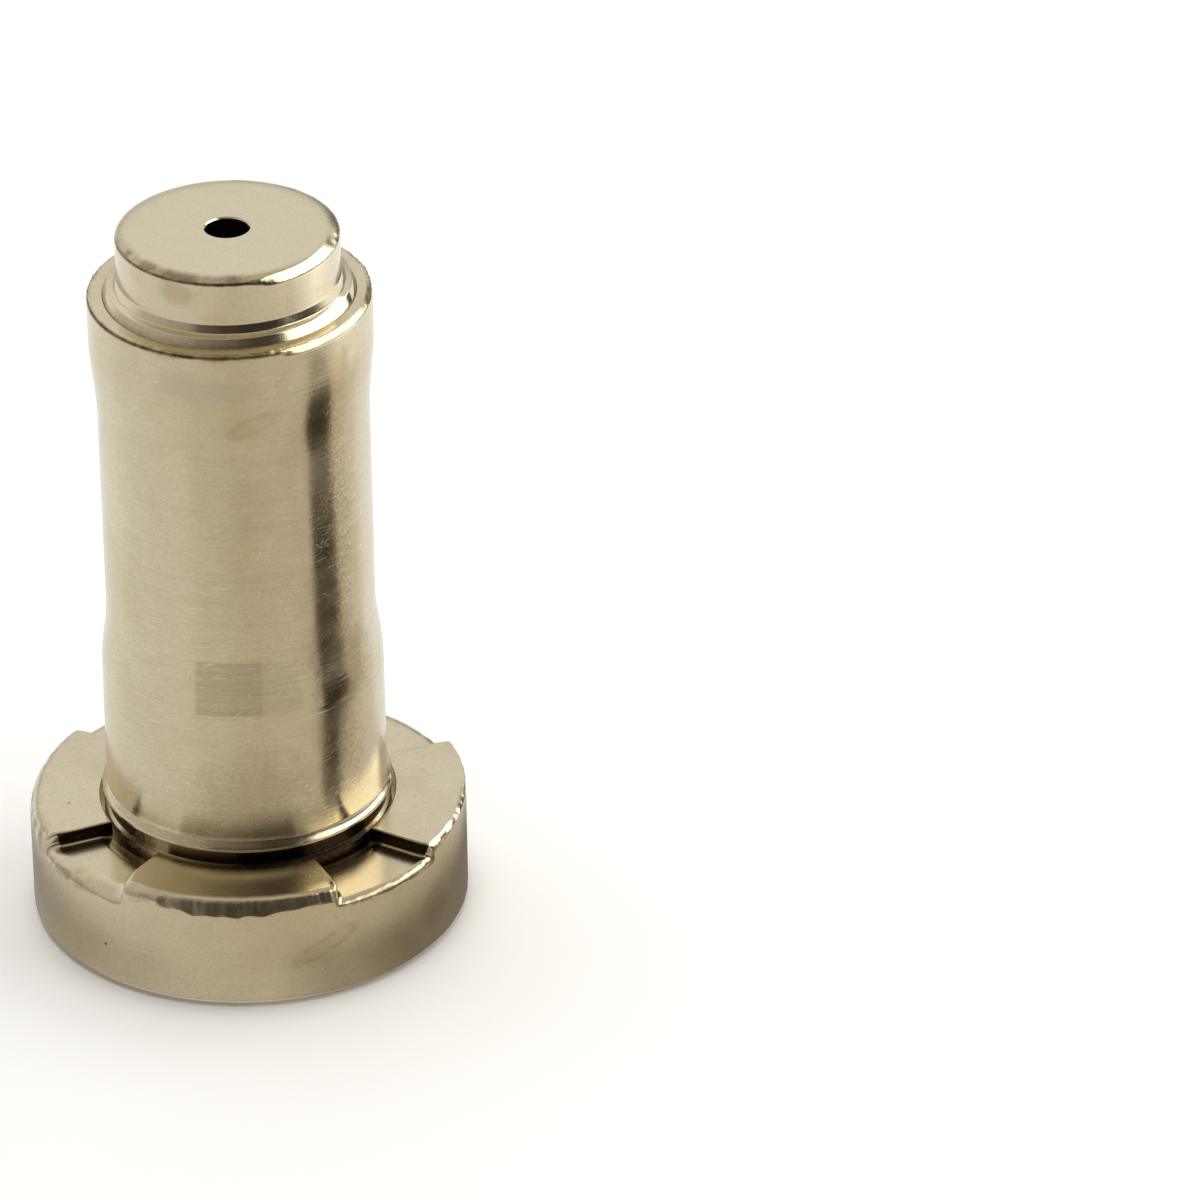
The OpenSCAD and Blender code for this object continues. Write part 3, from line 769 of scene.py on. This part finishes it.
mat_tip = nickel("plating_tip", (0.74, 0.66, 0.475), (0.71, 0.625, 0.435), rough=0.17, grain=1.3, ripple=0.5, lines=0.5, face_rings=0.5, scratch=0.0, brushed=0.10,
                 aniso=0.0, cloud=0.6, seed=2.0, spots=((-25, 21.45, 0.85, 0.48, 0.80, (0.55, 0.46, 0.28)), (-5, 20.75, 0.6, 0.3, 0.35, OCHRE), (-52, 21.5, 0.5, 0.3, 0.3, OCHRE)), soot=0.632, skin=3.17)
mat_flange = nickel("plating_flange", (0.72, 0.64, 0.455), (0.655, 0.565, 0.380), rough=0.19, grain=2.2, ripple=1.4, lines=0.4, face_rings=0.35, skin=6.38, scratch=0.0, brushed=0.12,
                    aniso=0.0, cloud=0.8, seed=5.0, spots=((-32, 2.5, 1.1, 0.8, 0.30, GREY), (60, 1.6, 0.6, 0.9, 0.35, BROWN), (19.5, 1.5, 0.7, 0.5, 0.22, BROWN)),
                    loops=((22.0, 1.78, 0.74, 0.22, 38, 0.50, BROWN),), pits=((-81.1, 3.54, 0.045, 5.27), (-39, 1.3, 0.055, 6.4)))
mat_seat = nickel("plating_seat", (0.70, 0.615, 0.43), (0.60, 0.51, 0.33), rough=0.22, grain=2.2, ripple=1.5, lines=2.6, face_rings=0.5, scratch=0.0, brushed=0.2,
                  aniso=0.0, cloud=0.9, seed=9.0)
for ob, mt in ((B, mat_barrel), (T, mat_tip), (F, mat_flange), (S, mat_seat)):
    ob.data.materials.clear()
    ob.data.materials.append(mt)
for n, mt in (("barrel", mat_barrel), ("orifice_tip", mat_tip), ("flange_ring", mat_flange), ("seat_ring", mat_seat)):
    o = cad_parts[n]
    if not o.data.materials:
        o.data.materials.append(mt)
    for s in o.material_slots:
        s.material = mt

# ---------------------------------------------------------------- floor, lights, camera


def plain(name, color, emit=None, rough=0.6):
    mt = bpy.data.materials.new(name)
    mt.use_nodes = True
    t = mt.node_tree
    b = t.nodes["Principled BSDF"]
    b.inputs["Base Color"].default_value = (*color, 1)
    b.inputs["Roughness"].default_value = rough
    if emit is not None:
        b.inputs["Emission Color"].default_value = (*emit[:3], 1)
        b.inputs["Emission Strength"].default_value = emit[3]
    return mt


def quad(name, corners, mat, camera=True, diffuse=True, shadow=True):
    me = bpy.data.meshes.new(name)
    me.from_pydata([Vector(c) * MM for c in corners], [], [tuple(range(len(corners)))])
    ob = bpy.data.objects.new(name, me)
    scene.collection.objects.link(ob)
    me.materials.append(mat)
    ob.visible_camera = camera
    ob.visible_diffuse = diffuse
    ob.visible_shadow = shadow
    return ob


def floor():
    """Pale floor with a round hole under the part, seen from above only."""
    inner, outer, n = 6.0, 3000.0, 96
    radii = [inner, 12, 30, 100, 400, outer]
    vs, fs = [], []
    for r in radii:
        for k in range(n):
            a = 2 * math.pi * k / n
            vs.append((r * math.cos(a) * MM, r * math.sin(a) * MM, -0.02 * MM))
    for i in range(len(radii) - 1):
        for k in range(n):
            a, b = i * n + k, i * n + (k + 1) % n
            fs.append((a, a + n, b + n, b))
    me = bpy.data.meshes.new("floor")
    me.from_pydata(vs, [], fs)
    ob = bpy.data.objects.new("floor", me)
    scene.collection.objects.link(ob)
    mt = bpy.data.materials.new("floor_pale")
    mt.use_nodes = True
    t = mt.node_tree
    b = t.nodes["Principled BSDF"]
    b.inputs["Base Color"].default_value = (0.90, 0.898, 0.893, 1)
    b.inputs["Roughness"].default_value = 0.85
    b.inputs["Specular IOR Level"].default_value = 0.15
    g = t.nodes.new("ShaderNodeNewGeometry")
    tr = t.nodes.new("ShaderNodeBsdfTransparent")
    mx = t.nodes.new("ShaderNodeMixShader")
    t.links.new(g.outputs["Backfacing"], mx.inputs[0])
    t.links.new(b.outputs[0], mx.inputs[1])
    t.links.new(tr.outputs[0], mx.inputs[2])
    t.links.new(mx.outputs[0], t.nodes["Material Output"].inputs[0])
    me.materials.append(mt)
    ob.visible_glossy = False
    return ob


def table_card():
    """What the metal mirrors from below: a softly shaded table top, seen by reflections only."""
    inner, outer, n = 6.0, 3000.0, 96
    vs, fs = [], []
    for r in (inner, outer):
        for k in range(n):
            a = 2 * math.pi * k / n
            vs.append((r * math.cos(a) * MM, r * math.sin(a) * MM, -0.03 * MM))
    for k in range(n):
        b = (k + 1) % n
        fs.append((k, k + n, b + n, b))
    me = bpy.data.meshes.new("table_card")
    me.from_pydata(vs, [], fs)
    ob = bpy.data.objects.new("table_card", me)
    scene.collection.objects.link(ob)
    m = Nodes("table_card")
    m.t.nodes.remove(m.b)
    x, y, z, r = m.polar()
    az = m.math("DIVIDE", m.math("ARCTAN2", x, m.math("MULTIPLY", y, -1.0)), math.pi * 2)
    az = m.math("ADD", az, 0.5)

    def ramp(stops):
        n = m.node("ShaderNodeValToRGB")
        m.link(az, n.inputs[0])
        e = n.color_ramp.elements
        n.color_ramp.interpolation = "EASE"
        stops = sorted(stops)
        while len(e) < len(stops):
            e.new(0.5)
        for k, (deg, c) in enumerate(stops):
            e[k].position = (deg + 180) / 360
        for k, (deg, c) in enumerate(stops):
            e[k].color = (*c, 1)
        return n.outputs[0]

    def warm(v, k=0.0):
        return (v, v * (1 - 0.11 * k), v * (1 - 0.26 * k))

    far = ramp([(-180, warm(1.0)), (-120, warm(0.90)), (-90, warm(0.79)), (-50, warm(0.75, 0.2)), (-20, warm(0.68, 0.5)),
                (8, warm(0.62, 0.9)), (40, warm(0.65, 0.8)), (60, warm(0.62, 0.8)), (84, warm(0.62, 0.9)),
                (112, warm(0.74, 0.4)), (130, warm(0.95)), (180, warm(1.0))])
    near = ramp([(-180, warm(0.6)), (-130, warm(0.42)), (-95, warm(0.36, 0.5)), (-60, warm(0.44, 0.5)), (-38, warm(0.52, 0.5)), (-16, warm(0.60, 0.5)),
                 (4, warm(0.63, 0.6)), (30, warm(0.38, 0.9)), (55, warm(0.24, 1)), (110, warm(0.22, 1)), (140, warm(0.36, 0.5)), (180, warm(0.6))])
    mix = m.mix(m.range(r, 0.0078, 0.0102), near, far)
    top = ramp([(-180, warm(1.0)), (-120, warm(0.90)), (-90, warm(0.79)), (-50, warm(0.75, 0.2)), (-20, warm(0.70, 0.4)), (8, warm(0.66, 0.7)),
                (40, warm(0.72, 0.6)), (62, warm(0.84, 0.5)), (80, warm(1.15, 0.3)), (99, warm(1.5)), (130, warm(1.15)), (180, warm(1.0))])
    mix = m.mix(m.range(r, 0.0385, 0.0415), mix, top)
    # one low dark flag on the right, wider in its middle
    turn = m.math("MULTIPLY_ADD", az, 360.0, -180.0)

    def along(stops):
        n = m.node("ShaderNodeFloatCurve")
        c = n.mapping.curves[0]
        pts = [((rr - 0.010) / 0.030, v) for rr, v in stops]
        c.points[0].location, c.points[1].location = pts[0], pts[-1]
        for q in pts[1:-1]:
            c.points.new(*q)
        n.mapping.update()
        m.link(m.range(r, 0.010, 0.040, 0.0, 1.0, "LINEAR"), n.inputs["Value"])
        return n.outputs[0]

    mid = m.math("MULTIPLY", along([(0.010, 0.64), (0.014, 0.66), (0.0205, 0.765), (0.0264, 0.76), (0.0346, 0.745), (0.040, 0.72)]), 100.0)
    wide = m.math("MULTIPLY", along([(0.010, 0.065), (0.014, 0.08), (0.0205, 0.115), (0.0264, 0.12), (0.0346, 0.09), (0.040, 0.09)]), 100.0)
    off = m.math("DIVIDE", m.math("ABSOLUTE", m.math("SUBTRACT", turn, mid)), wide)
    ragged = m.noise(m.combine(m.math("MULTIPLY", az, 60.0), m.math("MULTIPLY", r, 1400.0), 0.0), 1.0, 3.0, 0.6)
    off = m.math("ADD", off, m.math("MULTIPLY_ADD", ragged, 0.14, -0.07))
    flag = m.math("MULTIPLY", m.range(off, 1.22, 0.98), m.math("MULTIPLY", m.range(r, 0.0106, 0.0126), m.range(r, 0.0392, 0.0368)))
    mix = m.mix(flag, mix, (0.028, 0.019, 0.009))
    em = m.node("ShaderNodeEmission")
    m.link(mix, em.inputs[0])
    m.link(em.outputs[0], m.out.inputs[0])
    me.materials.append(m.mat)
    ob.visible_camera = False
    ob.visible_diffuse = False
    ob.visible_shadow = False
    ob.visible_transmission = False
    return ob


def bore_shade():
    """Small dark disc under the bore, so no light comes up through it; unseen from below."""
    n = 48
    vs = [(3.3 * MM * math.cos(2 * math.pi * k / n), 3.3 * MM * math.sin(2 * math.pi * k / n), -0.025 * MM) for k in range(n)]
    me = bpy.data.meshes.new("bore_shade")
    me.from_pydata(vs, [], [tuple(range(n))])
    ob = bpy.data.objects.new("bore_shade", me)
    scene.collection.objects.link(ob)
    m = Nodes("bore_shade")
    m.b.inputs["Base Color"].default_value = (0.02, 0.018, 0.015, 1)
    m.b.inputs["Roughness"].default_value = 0.9
    g = m.node("ShaderNodeNewGeometry")
    tr = m.node("ShaderNodeBsdfTransparent")
    mx = m.node("ShaderNodeMixShader")
    m.link(g.outputs["Backfacing"], mx.inputs[0])
    m.link(m.b.outputs[0], mx.inputs[1])
    m.link(tr.outputs[0], mx.inputs[2])
    m.link(mx.outputs[0], m.out.inputs[0])
    me.materials.append(m.mat)
    return ob


floor()
table_card()
bore_shade()


def soft(name, loc, target, w, h, radiance, color=(1, 1, 1)):
    """Rectangular soft light with a set surface brightness."""
    L = bpy.data.lights.new(name, "AREA")
    L.shape = "RECTANGLE"
    L.size, L.size_y = w * MM, h * MM
    L.energy = radiance * math.pi * (w * MM) * (h * MM)
    L.color = color
    ob = bpy.data.objects.new(name, L)
    scene.collection.objects.link(ob)
    ob.location = Vector(loc) * MM
    d = (Vector(target) - Vector(loc)).normalized()
    ob.rotation_mode = "QUATERNION"
    ob.rotation_quaternion = d.to_track_quat("-Z", "Y")
    ob.visible_camera = False
    return ob


key = soft("key_right", (264.5, 25, 186), (0, 0, 14), 488, 200, 2.3, (1.0, 0.985, 0.95))
over = soft("overhead", (-40, 60, 420), (0, 0, 5), 260, 260, 4.2)
over.visible_glossy = False

w = bpy.data.worlds.new("studio")
scene.world = w
w.use_nodes = True
t = w.node_tree
t.nodes.clear()
wo = t.nodes.new("ShaderNodeOutputWorld")
bg = t.nodes.new("ShaderNodeBackground")
cam_bg = t.nodes.new("ShaderNodeBackground")
lp = t.nodes.new("ShaderNodeLightPath")
mx = t.nodes.new("ShaderNodeMixShader")
tc = t.nodes.new("ShaderNodeTexCoord")
sp = t.nodes.new("ShaderNodeSeparateXYZ")
t.links.new(tc.outputs["Generated"], sp.inputs[0])


def wmath(op, a, b=None, c=None):
    n = t.nodes.new("ShaderNodeMath")
    n.operation = op
    for i, v in enumerate((a, b, c)):
        if v is None:
            continue
        if isinstance(v, (int, float)):
            n.inputs[i].default_value = v
        else:
            t.links.new(v, n.inputs[i])
    return n.outputs[0]


def wrange(v, a, b):
    n = t.nodes.new("ShaderNodeMapRange")
    n.interpolation_type = "SMOOTHSTEP"
    t.links.new(v, n.inputs["Value"])
    n.inputs["From Min"].default_value = a
    n.inputs["From Max"].default_value = b
    return n.outputs[0]


def wmix(f, a, b):
    n = t.nodes.new("ShaderNodeMix")
    n.data_type = "RGBA"
    t.links.new(f, n.inputs[0])
    for sock, v in ((n.inputs[6], a), (n.inputs[7], b)):
        if isinstance(v, tuple):
            sock.default_value = (*v, 1)
        else:
            t.links.new(v, sock)
    return n.outputs[2]


turn = wmath("ADD", wmath("DIVIDE", wmath("ARCTAN2", sp.outputs[0], wmath("MULTIPLY", sp.outputs[1], -1.0)), 2 * math.pi), 0.5)


def around(stops):
    """Brightness of the studio by direction, in degrees from the front, right positive."""
    n = t.nodes.new("ShaderNodeValToRGB")
    t.links.new(turn, n.inputs[0])
    e = n.color_ramp.elements
    n.color_ramp.interpolation = "EASE"
    while len(e) < len(stops):
        e.new(0.5)
    for k, (deg, v) in enumerate(stops):
        e[k].position = (deg + 180) / 360
    for k, (deg, v) in enumerate(stops):
        w = 1 - min(1.0, v / 0.8)
        e[k].color = (v, v * (1 - 0.13 * w), v * (1 - 0.30 * w), 1)
    return n.outputs[0]


# the front of the studio is dim, its back and sides are bright
horizon = around([(-180, 0.66), (-150, 0.64), (-110, 0.58), (-75, 0.50), (-40, 0.38), (-25, 0.12), (0, 0.05), (30, 0.035), (50, 0.03), (140, 0.05), (165, 0.26), (180, 0.66)])
middle = around([(-180, 0.87), (-135, 0.86), (-105, 0.74), (-80, 0.60), (-48, 0.46), (-20, 0.30), (0, 0.20), (22, 0.09), (48, 0.04), (125, 0.30), (150, 0.80), (180, 0.87)])
sky = wmix(wrange(sp.outputs[2], 0.24, 0.48), horizon, middle)
sky = wmix(wrange(sp.outputs[2], 0.62, 0.93), sky, (0.58, 0.55, 0.49))
# below the horizon: plain pale, it only lights views from below
low = wmath("LESS_THAN", sp.outputs[2], 0.0)
sky = wmix(low, sky, (0.62, 0.60, 0.56))
t.links.new(sky, bg.inputs[0])
bg.inputs[1].default_value = 1.0
cam_bg.inputs[0].default_value = (0.93, 0.93, 0.92, 1)
t.links.new(lp.outputs["Is Camera Ray"], mx.inputs[0])
t.links.new(bg.outputs[0], mx.inputs[1])
t.links.new(cam_bg.outputs[0], mx.inputs[2])
t.links.new(mx.outputs[0], wo.inputs[0])

cam = bpy.data.cameras.new("camera")
cam.sensor_width = 36.0
cam.lens = 36.0 * 8000.0 / 1200.0
cam.clip_start, cam.clip_end = 0.005, 20.0
co = bpy.data.objects.new("camera", cam)
scene.collection.objects.link(co)
th, ro = math.radians(30.09), math.radians(-0.66)
X0, Z0, Y0 = -10.392, 236.488, 8.410
fwd = Vector((0, math.cos(th), -math.sin(th)))
up0 = Vector((0, math.sin(th), math.cos(th)))
rt0 = Vector((1, 0, 0))
rt = rt0 * math.cos(ro) + up0 * math.sin(ro)
up = up0 * math.cos(ro) - rt0 * math.sin(ro)
loc = Vector((-X0, -Z0 * math.cos(th) + Y0 * math.sin(th), Z0 * math.sin(th) + Y0 * math.cos(th))) * MM
M = Matrix(((rt.x, up.x, -fwd.x, loc.x), (rt.y, up.y, -fwd.y, loc.y), (rt.z, up.z, -fwd.z, loc.z), (0, 0, 0, 1)))
co.matrix_world = M
scene.camera = co

scene.view_settings.view_transform = "Standard"
scene.view_settings.look = "None"
scene.view_settings.exposure = 0.0
scene.view_settings.gamma = 1.0
